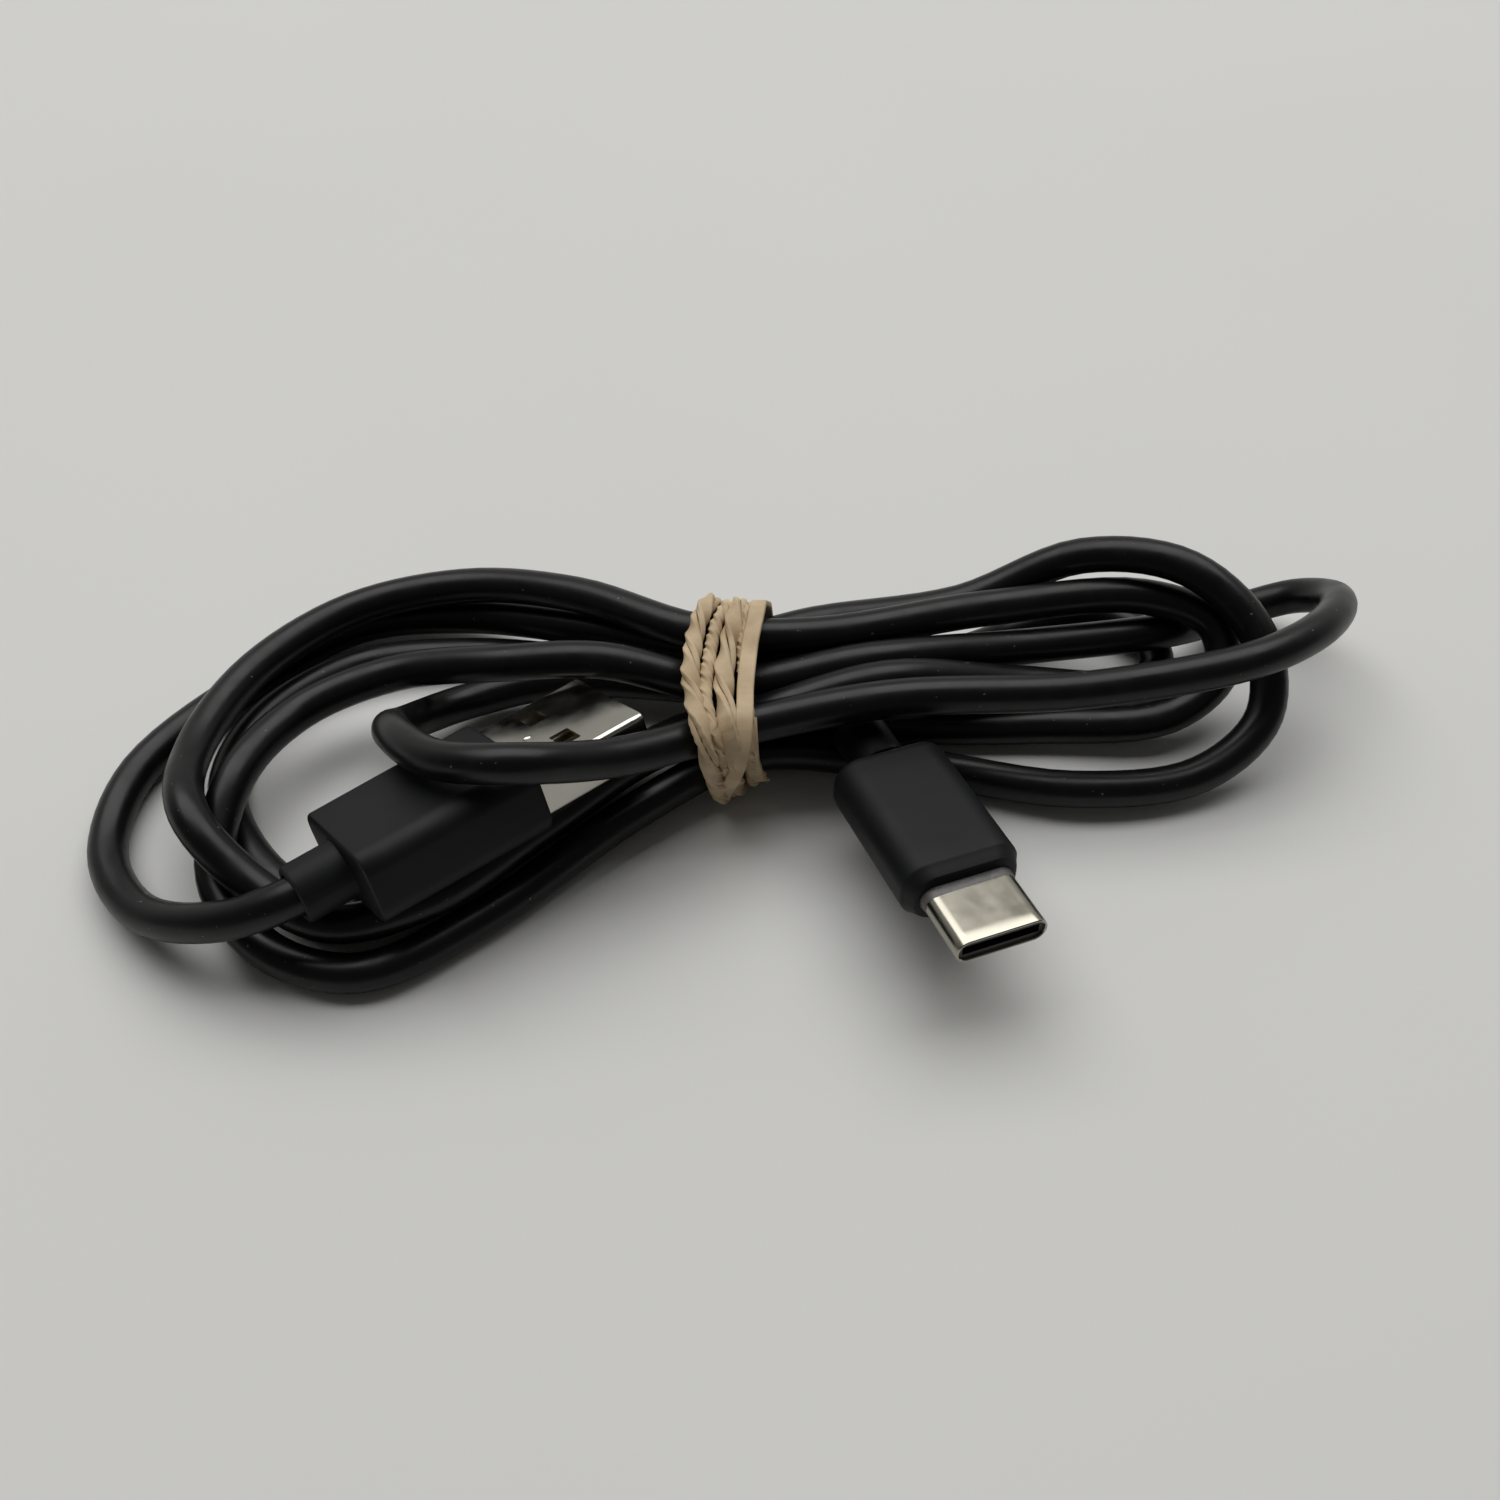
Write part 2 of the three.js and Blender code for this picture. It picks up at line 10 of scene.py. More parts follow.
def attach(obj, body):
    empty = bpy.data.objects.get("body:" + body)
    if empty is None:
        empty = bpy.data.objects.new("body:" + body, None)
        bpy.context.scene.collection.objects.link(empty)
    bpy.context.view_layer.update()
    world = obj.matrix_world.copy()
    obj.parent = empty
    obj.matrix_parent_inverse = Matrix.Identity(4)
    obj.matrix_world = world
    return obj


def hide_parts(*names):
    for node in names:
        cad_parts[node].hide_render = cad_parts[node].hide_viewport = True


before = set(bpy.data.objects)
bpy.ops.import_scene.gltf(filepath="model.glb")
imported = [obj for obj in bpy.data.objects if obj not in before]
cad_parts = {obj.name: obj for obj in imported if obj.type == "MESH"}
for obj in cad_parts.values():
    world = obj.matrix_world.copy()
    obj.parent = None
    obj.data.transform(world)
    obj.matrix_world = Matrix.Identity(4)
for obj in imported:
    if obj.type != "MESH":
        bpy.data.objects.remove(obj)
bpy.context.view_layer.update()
print("frame loaded:", len(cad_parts), "nodes")

mm = 0.001

# ---------- settings, one dictionary for each piece ----------

cordSettings = {
    "diameter": 0.0035,
    "sides": 28,
    "samplesPerGap": 7,
    "insideUsbA": 0.007,  # how far the jacket reaches into the moulding
    "insideUsbC": 0.0022,
    # the centre line from the mouth of the USB-A plug to the USB-C plug, in metres
    "route": [
        (-0.0372, -0.0177, 0.0094), (-0.0436, -0.0186, 0.0071), (-0.0524, -0.0151, 0.0033),
        (-0.0576, -0.0078, 0.002), (-0.0572, 0.0017, 0.002), (-0.0493, 0.0128, 0.0018),
        (-0.0398, 0.0206, 0.002), (-0.0289, 0.0216, 0.0025), (-0.0154, 0.0169, 0.0054),
        (-0.0042, 0.0126, 0.0071), (0.0064, 0.015, 0.008), (0.0211, 0.0197, 0.0064),
        (0.0325, 0.0209, 0.0115), (0.042, 0.0174, 0.0131), (0.0481, 0.0115, 0.01),
        (0.0484, 0.0053, 0.0057), (0.0423, 0.0007, 0.0027), (0.0302, -0.001, 0.0025),
        (0.0131, 0.0029, 0.0019), (0.0003, 0.0025, 0.0034), (-0.0101, -0.0037, 0.0029),
        (-0.0232, -0.0148, 0.0019), (-0.0327, -0.0204, 0.002), (-0.0412, -0.0181, 0.0019),
        (-0.0466, -0.0116, 0.0034), (-0.0461, -0.0029, 0.0064), (-0.0419, 0.0056, 0.006),
        (-0.0335, 0.0095, 0.007), (-0.0225, 0.0079, 0.0101), (-0.0134, 0.0074, 0.011),
        (-0.002, 0.0067, 0.0084), (0.0112, 0.009, 0.0093), (0.0272, 0.014, 0.006),
        (0.0419, 0.017, 0.0053), (0.05, 0.0224, 0.0025), (0.0554, 0.0224, 0.0046),
        (0.0575, 0.0183, 0.0082), (0.0534, 0.0108, 0.0119), (0.0455, 0.0055, 0.013),
        (0.0305, 0.0035, 0.0112), (0.0126, 0.0019, 0.0118), (-0.0014, -0.0009, 0.011),
        (-0.0113, -0.0064, 0.0136), (-0.019, -0.0101, 0.0173), (-0.0259, -0.0081, 0.0154),
        (-0.0311, -0.0019, 0.0117), (-0.0318, 0.0044, 0.0056), (-0.0271, 0.0098, 0.0027),
        (-0.018, 0.0119, 0.0034), (-0.0036, 0.0103, 0.0042), (0.0079, 0.011, 0.0021),
        (0.0225, 0.0174, 0.002), (0.0347, 0.0224, 0.002), (0.0403, 0.0191, 0.002),
        (0.0406, 0.0147, 0.0019), (0.0364, 0.0111, 0.0032), (0.0254, 0.0094, 0.0057),
        (0.0127, 0.0057, 0.0103), (0.0021, 0.0033, 0.0086), (-0.0091, 0.0005, 0.0058),
        (-0.0181, -0.0065, 0.0045), (-0.0271, -0.0148, 0.005), (-0.0354, -0.0168, 0.004),
        (-0.0427, -0.0136, 0.0057), (-0.0483, -0.0085, 0.0086), (-0.0504, 0.0005, 0.0067),
        (-0.0473, 0.0111, 0.0059), (-0.0394, 0.0193, 0.0057), (-0.0286, 0.0221, 0.0063),
        (-0.0167, 0.0182, 0.0089), (-0.0044, 0.0114, 0.0106), (0.0063, 0.0118, 0.0098),
        (0.0231, 0.0163, 0.0089), (0.0384, 0.0176, 0.0092), (0.045, 0.0151, 0.008),
        (0.0457, 0.0115, 0.0054), (0.0404, 0.0075, 0.0032), (0.0267, 0.0071, 0.0021),
        (0.0091, 0.007, 0.0023), (-0.0048, 0.0055, 0.0038), (-0.016, -0.0014, 0.0019),
        (-0.0278, -0.0121, 0.002), (-0.0357, -0.0139, 0.0019), (-0.043, -0.0098, 0.0019),
        (-0.0486, -0.0002, 0.0018), (-0.0469, 0.0081, 0.0018), (-0.0391, 0.0149, 0.002),
        (-0.0278, 0.0168, 0.0018), (-0.0132, 0.0148, 0.0025), (0.001, 0.0139, 0.0035),
        (0.0074, 0.0125, 0.0053),
    ],
}

# A plug's own frame: +X out of the tip, +Z out of its upper broad side, sizes in millimetres.
usbASettings = {
    "mouth": (-0.03721, -0.01769, 0.00942),
    "axis": (0.778, 0.629, -0.02),
    "up": (-0.228, 0.312, 0.922),
    "exposed": 11.2,
    "mouldLength": 16.4,
    "reliefLength": 4.6,
    "reliefRadius": 2.65,
    "mouldHalf": (6.6, 3.5),
    "mouldCorner": 2.0,
    "taper": 0.035,
    "shellHalf": (6.0, 2.25),
    "shellCorner": 0.62,
    "shellWall": 0.32,
    "shellHidden": 6.2,
    "windowSize": (1.95, 2.5),
    "windowOffset": 2.93,
    "windowSetback": 6.35,
}

usbCSettings = {
    "mouth": (0.01011, 0.00299, 0.00627),
    "axis": (0.366, -0.92, 0.141),
    "up": (-0.005, 0.15, 0.989),
    "exposed": 6.2,
    "mouldLength": 15.6,
    "reliefLength": 6.0,
    "reliefRadius": 2.5,
    "mouldHalf": (5.4, 2.9),
    "mouldCorner": 2.45,
    "shellHalf": (4.125, 1.2),
    "shellCorner": 1.19,
    "shellWall": 0.26,
    "shellHidden": 4.2,
}

bandSettings = {
    "stations": [-7.4, -6.0, -4.6, -3.2, -1.8, -0.4, 1.0, 2.4, 3.8],  # places along X, in millimetres
    "slab": 0.0013,
    "centre": (0.0070, 0.0070),
    "gap": 0.1,  # millimetres between the cords and the strands
    "steps": 150,
    "floor": 0.0001,
    # plies, turns, width, thickness, how far a ply sits from its rope's middle, phase,
    # then (angle round the hank, place along it, height over the cords)
    "strands": {
        "left": (2, 6.0, 1.45, 0.62, 0.36, 0.3, [
            (20, -3.1, .5), (41, -3.5, .5), (54, -4.2, .5), (79, -4.8, .45), (105, -5.0, .4),
            (124, -5.1, .4), (136, -4.8, .4), (144, -4.4, .4), (150, -3.9, .4), (156, -3.4, .4),
            (172, -3.0, .4), (207, -2.5, .3), (250, -1.8, .1), (300, -2.4, .1), (340, -3.0, .2),
        ]),
        "rope": (2, 14.0, 0.95, 0.56, 0.27, 0.0, [
            (20, -1.6, .35), (49, -2.2, .4), (61, -2.8, .4), (84, -3.2, .35), (109, -3.5, .35),
            (127, -3.7, .35), (138, -3.7, .35), (146, -3.3, .35), (152, -2.8, .35), (159, -2.3, .3),
            (180, -1.8, .3), (214, -1.4, .2), (260, -.8, .1), (310, -1.2, .1), (345, -1.5, .2),
        ]),
        "middle": (2, 4.0, 1.6, 0.6, 0.36, 0.35, [
            (20, -.3, .4), (51, -1.1, .45), (70, -1.4, .45), (97, -1.8, .45), (119, -2.1, .4),
            (134, -2.1, .4), (143, -1.9, .4), (149, -1.7, .4), (156, -1.4, .35), (175, -1.3, .3),
            (214, -1.0, .2), (260, .0, .1), (310, .2, .1), (345, -.1, .2),
        ]),
        "small": (2, 13.0, 0.9, 0.56, 0.27, 0.2, [
            (20, .5, .3), (43, .0, .35), (57, -.4, .3), (81, -.5, .2), (112, -.4, .1),
            (133, -.2, .1), (145, .0, .1), (154, .1, .1), (179, .3, .1), (216, .5, .1),
            (260, 1.0, .1), (310, 1.1, .1), (345, .9, .2),
        ]),
        "flat": (1, 0.0, 1.5, 0.62, 0.0, 0.0, [
            (18, 1.45, .8), (40, 1.1, .95), (60, .7, 1.0), (85, .3, 1.0), (116, .0, 1.0),
            (135, -.2, 1.0), (146, -.25, 1.05), (153, -.4, 1.1), (160, -.8, 1.15), (181, -1.5, 1.1),
            (207, -2.3, .7), (235, -2.6, .3), (270, -.8, .1), (310, 1.3, .2), (345, 1.9, .5),
        ]),
    },
    "tail": (1, 0.0, 1.4, 0.6, 0.0, 0.0, [
        (146, .1, .1), (152, .25, .2), (160, .35, .35), (178, .55, .4), (200, .7, .5),
        (206, .75, .7),
    ]),
}

# ---------- materials ----------


def startMaterial(name):
    material = bpy.data.materials.new(name)
    material.use_nodes = True
    tree = material.node_tree
    shader = tree.nodes["Principled BSDF"]
    return material, tree, shader


def addNoise(tree, vector, scale, detail=3.0, roughness=0.5):
    noise = tree.nodes.new("ShaderNodeTexNoise")
    noise.inputs["Scale"].default_value = scale
    noise.inputs["Detail"].default_value = detail
    noise.inputs["Roughness"].default_value = roughness
    tree.links.new(vector, noise.inputs["Vector"])
    return noise.outputs["Fac"]


def addRange(tree, value, low, high, fromLow=0.3, fromHigh=0.7):
    spread = tree.nodes.new("ShaderNodeMapRange")
    spread.inputs["From Min"].default_value = fromLow
    spread.inputs["From Max"].default_value = fromHigh
    spread.inputs["To Min"].default_value = low
    spread.inputs["To Max"].default_value = high
    tree.links.new(value, spread.inputs["Value"])
    return spread.outputs["Result"]


def addMix(tree, factor, first, second):
    mix = tree.nodes.new("ShaderNodeMix")
    mix.data_type = "RGBA"
    tree.links.new(factor, mix.inputs["Factor"])
    mix.inputs["A"].default_value = (*first, 1)
    mix.inputs["B"].default_value = (*second, 1)
    return mix.outputs["Result"]


def addBump(tree, shader, height, strength, distance):
    bump = tree.nodes.new("ShaderNodeBump")
    bump.inputs["Strength"].default_value = strength
    bump.inputs["Distance"].default_value = distance
    tree.links.new(height, bump.inputs["Height"])
    tree.links.new(bump.outputs["Normal"], shader.inputs["Normal"])


def objectVector(tree, stretch=(1, 1, 1)):
    coordinates = tree.nodes.new("ShaderNodeTexCoord")
    mapping = tree.nodes.new("ShaderNodeMapping")
    mapping.inputs["Scale"].default_value = stretch
    tree.links.new(coordinates.outputs["Object"], mapping.inputs["Vector"])
    return mapping.outputs["Vector"]


def uvVector(tree, stretch=(1, 1, 1)):
    coordinates = tree.nodes.new("ShaderNodeTexCoord")
    mapping = tree.nodes.new("ShaderNodeMapping")
    mapping.inputs["Scale"].default_value = stretch
    tree.links.new(coordinates.outputs["UV"], mapping.inputs["Vector"])
    return mapping.outputs["Vector"]


# A plain finish with clouded colour, uneven gloss and a fine grain.
def makeFinish(name, dark, light, gloss, grain, metallic=0.0, blotch=260.0):
    material, tree, shader = startMaterial(name)
    vector = objectVector(tree)
    clouds = addNoise(tree, vector, blotch)
    tree.links.new(addMix(tree, clouds, dark, light), shader.inputs["Base Color"])
    shader.inputs["Metallic"].default_value = metallic
    smears = addNoise(tree, vector, blotch * 2.3, 4.0)
    tree.links.new(addRange(tree, smears, *gloss), shader.inputs["Roughness"])
    scale, strength, depth = grain
    addBump(tree, shader, addNoise(tree, vector, scale, 2.0), strength, depth)
    return material


def makeJacket():
    material, tree, shader = startMaterial("jacketBlack")
    drawn = addNoise(tree, uvVector(tree, (9, 0.35, 1)), 1.0, 3.0)
    skin = addNoise(tree, objectVector(tree), 420.0, 3.0)
    dust = addNoise(tree, objectVector(tree), 2300.0, 1.0)
    specks = addRange(tree, dust, 0.0, 1.0, 0.775, 0.80)
    colour = addMix(tree, specks, (0.0026, 0.0028, 0.0034), (0.12, 0.12, 0.12))
    tree.links.new(colour, shader.inputs["Base Color"])
    tree.links.new(addRange(tree, skin, 0.28, 0.40), shader.inputs["Roughness"])
    addBump(tree, shader, drawn, 0.22, 0.00004)
    shader.inputs["Specular IOR Level"].default_value = 0.30
    return material


def makeMoulding():
    material, tree, shader = startMaterial("mouldingBlack")
    vector = objectVector(tree)
    clouds = addNoise(tree, vector, 180.0)
    colour = addMix(tree, clouds, (0.0042, 0.0046, 0.0056), (0.0065, 0.007, 0.0085))
    tree.links.new(colour, shader.inputs["Base Color"])
    tree.links.new(addRange(tree, clouds, 0.46, 0.56), shader.inputs["Roughness"])
    shader.inputs["Specular IOR Level"].default_value = 0.22
    grain = addNoise(tree, vector, 6500.0, 2.0)
    addBump(tree, shader, grain, 0.35, 0.00002)
    return material


# Bright nickel with rolling lines along one direction and a few smudges.
def makeNickel(name, axis, gloss, dark, light):
    material, tree, shader = startMaterial(name)
    vector = objectVector(tree)
    turned = tree.nodes.new("ShaderNodeVectorRotate")
    turned.rotation_type = "Z_AXIS"
    turned.inputs["Angle"].default_value = -math.atan2(axis[1], axis[0])
    tree.links.new(vector, turned.inputs["Vector"])
    stretch = tree.nodes.new("ShaderNodeMapping")
    stretch.inputs["Scale"].default_value = (0.08, 1, 1)
    tree.links.new(turned.outputs["Vector"], stretch.inputs["Vector"])
    lines = addNoise(tree, stretch.outputs["Vector"], 5200.0, 3.0)
    smudge = addNoise(tree, vector, 420.0, 4.0)
    tree.links.new(addMix(tree, smudge, dark, light), shader.inputs["Base Color"])
    shader.inputs["Metallic"].default_value = 1.0
    tree.links.new(addRange(tree, smudge, *gloss), shader.inputs["Roughness"])
    addBump(tree, shader, lines, 0.10, 0.00001)
    return material


def makeRubber():
    material, tree, shader = startMaterial("bandLatex")
    vector = objectVector(tree)
    stains = addNoise(tree, vector, 330.0, 4.0)
    colour = addMix(tree, addRange(tree, stains, 0, 1), (0.40, 0.29, 0.165), (0.60, 0.47, 0.31))
    tree.links.new(colour, shader.inputs["Base Color"])
    tree.links.new(addRange(tree, stains, 0.58, 0.78), shader.inputs["Roughness"])
    crazing = addNoise(tree, uvVector(tree, (3, 60, 1)), 1.0, 4.0)
    powder = addNoise(tree, vector, 4200.0, 2.0)
    height = tree.nodes.new("ShaderNodeMath")
    height.operation = "ADD"
    tree.links.new(crazing, height.inputs[0])
    tree.links.new(powder, height.inputs[1])
    addBump(tree, shader, height.outputs["Value"], 0.35, 0.00004)
    return material


finishes = {
    "jacket": makeJacket(),
    "moulding": makeMoulding(),
    "nickelA": makeNickel("nickelUsbA", usbASettings["axis"], (0.12, 0.24), (0.44, 0.42, 0.38),
                          (0.56, 0.54, 0.49)),
    "nickelC": makeNickel("nickelUsbC", usbCSettings["axis"], (0.16, 0.28), (0.33, 0.31, 0.26),
                          (0.44, 0.42, 0.36)),
    "gold": makeFinish("goldPlate", (0.72, 0.50, 0.18), (0.86, 0.66, 0.30), (0.18, 0.32),
                       (5000, 0.08, 1e-5), 1.0),
    "whitePlastic": makeFinish("tonguePlastic", (0.66, 0.65, 0.60), (0.76, 0.75, 0.71), (0.42, 0.55),
                               (6000, 0.15, 1e-5)),
    "darkPlastic": makeFinish("housingPlastic", (0.006, 0.006, 0.007), (0.011, 0.011, 0.012), (0.38, 0.5),
                              (6000, 0.15, 1e-5)),
    "clearPlastic": makeFinish("innerMouldPlastic", (0.55, 0.53, 0.46), (0.66, 0.64, 0.57), (0.35, 0.5),
                               (4000, 0.2, 2e-5)),
    "glue": makeFinish("glueFlash", (0.045, 0.045, 0.047), (0.16, 0.155, 0.15), (0.25, 0.5),
                       (2600, 0.5, 4e-5), 0.0,
                       900.0),
    "board": makeFinish("boardMask", (0.012, 0.085, 0.028), (0.02, 0.12, 0.04), (0.28, 0.4),
                        (3000, 0.1, 1e-5)),
    "band": makeRubber(),
    "wireRed": makeFinish("wireRed", (0.42, 0.012, 0.016), (0.5, 0.02, 0.02), (0.3, 0.42), (3000, 0.1, 1e-5)),
    "wireWhite": makeFinish("wireWhite", (0.68, 0.67, 0.63), (0.76, 0.75, 0.71), (0.3, 0.42),
                            (3000, 0.1, 1e-5)),
    "wireGreen": makeFinish("wireGreen", (0.012, 0.2, 0.045), (0.02, 0.25, 0.06), (0.3, 0.42),
                            (3000, 0.1, 1e-5)),
    "wireBlack": makeFinish("wireBlack", (0.008, 0.008, 0.009), (0.014, 0.014, 0.015), (0.3, 0.42),
                            (3000, 0.1, 1e-5)),
}
print("finishes made:", len(finishes))

# ---------- stage ----------


def makeCamera():
    data = bpy.data.cameras.new("camera")
    data.sensor_width = 36
    data.lens = 36.096
    data.clip_start = 0.005
    data.clip_end = 20
    camera = bpy.data.objects.new("camera", data)
    camera.location = (0.0002, -0.08779, 0.1116)
    camera.rotation_euler = (math.radians(40), 0, 0)
    bpy.context.collection.objects.link(camera)
    bpy.context.scene.camera = camera


def addSoftbox(name, place, aim, size, power, colour=(1, 1, 1)):
    data = bpy.data.lights.new(name, "AREA")
    data.shape = "RECTANGLE"
    data.size, data.size_y = size
    data.energy = power
    data.color = colour
    lamp = bpy.data.objects.new(name, data)
    lamp.location = place
    lamp.rotation_euler = (Vector(aim) - Vector(place)).to_track_quat("-Z", "Y").to_euler()
    bpy.context.collection.objects.link(lamp)


def makeStage():
    mesh = bpy.data.meshes.new("table")
    reach = 3.0
    corners = [(-reach, -reach, 0), (reach, -reach, 0), (reach, reach, 0), (-reach, reach, 0)]
    mesh.from_pydata(corners, [], [(0, 1, 2, 3)])
    table = bpy.data.objects.new("table", mesh)
    bpy.context.collection.objects.link(table)
    material, tree, shader = startMaterial("tableWhite")
    vector = objectVector(tree)
    tree.links.new(addMix(tree, addNoise(tree, vector, 14.0), (0.66, 0.66, 0.65), (0.69, 0.69, 0.68)),
                   shader.inputs["Base Color"])
    shader.inputs["Roughness"].default_value = 0.62
    addBump(tree, shader, addNoise(tree, vector, 3800.0, 2.0), 0.12, 0.00003)
    mesh.materials.append(material)

    addSoftbox("softboxAbove", (-0.05, 0.46, 1.05), (0, 0, 0), (1.7, 0.9), 12.8, (1, 0.995, 0.985))

    # the room: a pale wall behind the hank and little light from the front
    world = bpy.data.worlds.new("room")
    bpy.context.scene.world = world
    world.use_nodes = True
    tree = world.node_tree
    back = tree.nodes["Background"]
    direction = tree.nodes.new("ShaderNodeTexCoord")
    parts = tree.nodes.new("ShaderNodeSeparateXYZ")
    tree.links.new(direction.outputs["Generated"], parts.inputs["Vector"])
    back.inputs["Color"].default_value = (0.98, 0.97, 0.93, 1)
    tree.links.new(addRange(tree, parts.outputs["Y"], 0.08, 0.46, -0.1, 0.6), back.inputs["Strength"])
    bpy.context.scene.view_settings.view_transform = "Standard"


makeCamera()
makeStage()
print("stage ready")

# ---------- mesh helpers ----------


def makeObject(name, verts, faces, material, body, cad=(), sharpAngle=40.0, uvs=None):
    mesh = bpy.data.meshes.new(name)
    mesh.from_pydata([tuple(v) for v in verts], [], faces)
    mesh.update()
    piece = bpy.data.objects.new(name, mesh)
    bpy.context.collection.objects.link(piece)
    if uvs:
        layer = mesh.uv_layers.new(name="UVMap")
        for loop in mesh.loops:
            layer.data[loop.index].uv = uvs[loop.vertex_index]
    finishObject(piece, material, body, cad, sharpAngle)
    return piece


def finishObject(piece, material, body, cad=(), sharpAngle=40.0):
    mesh = piece.data
    work = bmesh.new()
    work.from_mesh(mesh)
    bmesh.ops.recalc_face_normals(work, faces=work.faces)
    for face in work.faces:
        face.smooth = True
    limit = math.radians(sharpAngle)
    for edge in work.edges:
        edge.smooth = len(edge.link_faces) == 2 and edge.calc_face_angle(0) < limit
    work.to_mesh(mesh)
    work.free()
    mesh.materials.clear()
    mesh.materials.append(material)
    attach(piece, body)
    if cad:
        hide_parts(*cad)


# A smooth curve through points, with its samples closer where the points are closer.
def centripetal(points, samplesPerGap):
    ext = [2 * points[0] - points[1], *points, 2 * points[-1] - points[-2]]
    line = []
    for p0, p1, p2, p3 in zip(ext, ext[1:], ext[2:], ext[3:]):
        t1 = (p1 - p0).length ** 0.5
        t2 = t1 + (p2 - p1).length ** 0.5
        t3 = t2 + (p3 - p2).length ** 0.5
        for step in range(samplesPerGap):
            t = t1 + (t2 - t1) * step / samplesPerGap
            a = p0.lerp(p1, t / t1)
            b = p1.lerp(p2, (t - t1) / (t2 - t1))
            c = p2.lerp(p3, (t - t2) / (t3 - t2))
            d = a.lerp(b, t / t2)
            e = b.lerp(c, (t - t1) / (t3 - t1))
            line.append(d.lerp(e, (t - t1) / (t2 - t1)))
    line.append(points[-1].copy())
    return line


def plugMatrix(plug):
    x = Vector(plug["axis"]).normalized()
    y = Vector(plug["up"]).cross(x).normalized()
    z = x.cross(y)
    reach = (plug["exposed"] + plug["mouldLength"] + plug["reliefLength"]) * mm
    origin = Vector(plug["mouth"]) + x * reach
    matrix = Matrix((x * mm, y * mm, z * mm)).transposed().to_4x4()
    matrix.translation = origin
    return matrix


def onAxis(plug, x):
    return plugMatrix(plug) @ Vector((x, 0, 0))


def mouthOf(plug):
    return -(plug["exposed"] + plug["mouldLength"] + plug["reliefLength"])


# ---------- the cord, first ----------


def makeCord():
    s = cordSettings
    mouthA = mouthOf(usbASettings)
    mouthC = mouthOf(usbCSettings)
    insideA = s["insideUsbA"] / mm
    points = [onAxis(usbASettings, mouthA + insideA), onAxis(usbASettings, mouthA + insideA / 2)]
    points += [Vector(p) for p in s["route"]]
    points += [onAxis(usbCSettings, mouthC - 0.3), onAxis(usbCSettings, mouthC + s["insideUsbC"] / mm)]
    line = centripetal(points, s["samplesPerGap"])
    radius = s["diameter"] / 2
    sides = s["sides"]
    tangent = (line[1] - line[0]).normalized()
    normal = tangent.orthogonal().normalized()
    verts, faces, uvs = [], [], []
    travelled = 0.0
    for i, centre in enumerate(line):
        ahead = line[min(i + 1, len(line) - 1)] - line[max(i - 1, 0)]
        ahead.normalize()
        normal = (normal - ahead * normal.dot(ahead)).normalized()
        side = ahead.cross(normal)
        if i:
            travelled += (centre - line[i - 1]).length
        for k in range(sides):
            turn = 2 * math.pi * k / sides
            verts.append(centre + (normal * math.cos(turn) + side * math.sin(turn)) * radius)
            uvs.append((abs(2 * k / sides - 1), travelled / 0.01))
    for i in range(len(line) - 1):
        for k in range(sides):
            a = i * sides + k
            b = i * sides + (k + 1) % sides
            faces.append((a, b, b + sides, a + sides))
    for end, centre in ((0, line[0]), (len(line) - 1, line[-1])):
        verts.append(centre)
        uvs.append((0, 0))
        for k in range(sides):
            faces.append((end * sides + k, end * sides + (k + 1) % sides, len(verts) - 1))
    cord = makeObject("cord", verts, faces, finishes["jacket"], "hank", ["cable_jacket"],
                      uvs=uvs)
    return cord, line


cord, cordLine = makeCord()

# ---------- lofted pieces ----------


# A closed ring of points in the YZ plane: a rounded rectangle with 4 * perCorner points.
def outline(halfWidth, halfHeight, corner, perCorner=14):
    corner = min(corner, halfWidth, halfHeight)
    ring = []
    for quarter, (sy, sz) in enumerate(((1, 1), (-1, 1), (-1, -1), (1, -1))):
        cy, cz = sy * (halfWidth - corner), sz * (halfHeight - corner)
        for k in range(perCorner):
            turn = math.pi / 2 * (quarter + k / (perCorner - 1))
            ring.append((cy + corner * math.cos(turn), cz + corner * math.sin(turn)))
    return ring


# Joins rings (x, halfWidth, halfHeight, corner) into one skin. It is capped, or closed on itself.
def loft(plug, rings, loop=False, perCorner=14):
    matrix = plugMatrix(plug)
    verts, faces = [], []
    for x, halfWidth, halfHeight, corner in rings:
        verts += [matrix @ Vector((x, y, z)) for y, z in outline(halfWidth, halfHeight, corner, perCorner)]
    count = perCorner * 4
    spans = len(rings) if loop else len(rings) - 1
    for i in range(spans):
        j = (i + 1) % len(rings)
        for k in range(count):
            n = (k + 1) % count
            faces.append((i * count + k, i * count + n, j * count + n, j * count + k))
    if not loop:
        for i in (0, len(rings) - 1):
            verts.append(matrix @ Vector((rings[i][0], 0, 0)))
            for k in range(count):
                faces.append((i * count + k, i * count + (k + 1) % count, len(verts) - 1))
    return verts, faces


def roundRing(x, radius):
    return (x, radius, radius, radius)


